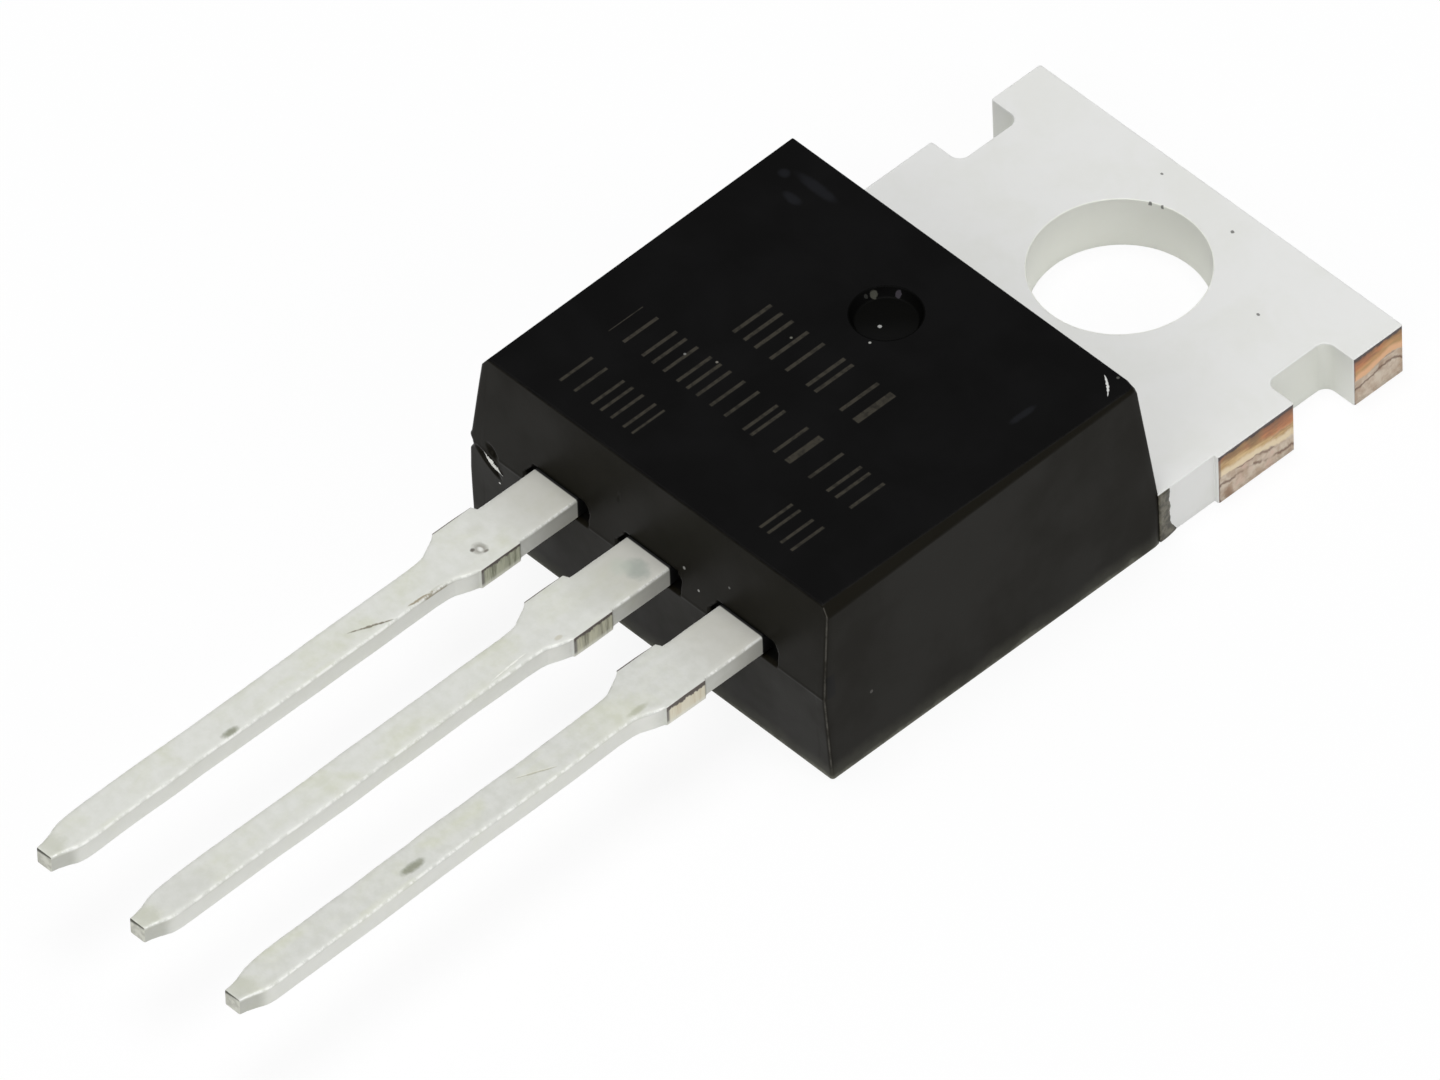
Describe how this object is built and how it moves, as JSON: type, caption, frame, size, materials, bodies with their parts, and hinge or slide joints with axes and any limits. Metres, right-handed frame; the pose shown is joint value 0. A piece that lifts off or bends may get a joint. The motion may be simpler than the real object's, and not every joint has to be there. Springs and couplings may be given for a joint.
{
  "type": "power transistor",
  "caption": "Flat moulded power transistor with a screw-down metal tab and leads in line, for switching or amplifying current",
  "frame": {"origin": "the screw hole's axis on the flat back mounting face", "axes": "+Z points out of the marked face, +Y towards the tab's end, the leads run to -Y, and +X is to the right with the marked face towards the viewer and the leads down"},
  "size_m": [0.01, 0.0285, 0.0044],
  "materials": {
    "mould_resin": "smooth moulded epoxy, satin black",
    "tinned_copper": "matte tin plate on copper, bare copper on the cut sides",
    "silicon": "polished silicon, sealed in the body",
    "solder": "dull solder, sealed in the body",
    "bond_wire": "bright drawn wire, sealed in the body"
  },
  "bodies": {
    "root": {"mould_body": "mould_resin", "drain_tab_and_lead": "tinned_copper", "gate_lead": "tinned_copper", "source_lead": "tinned_copper", "silicon_chip": "silicon", "chip_solder": "solder", "gate_wire": "bond_wire", "source_wire_1": "bond_wire", "source_wire_2": "bond_wire"}
  },
  "joints": []
}
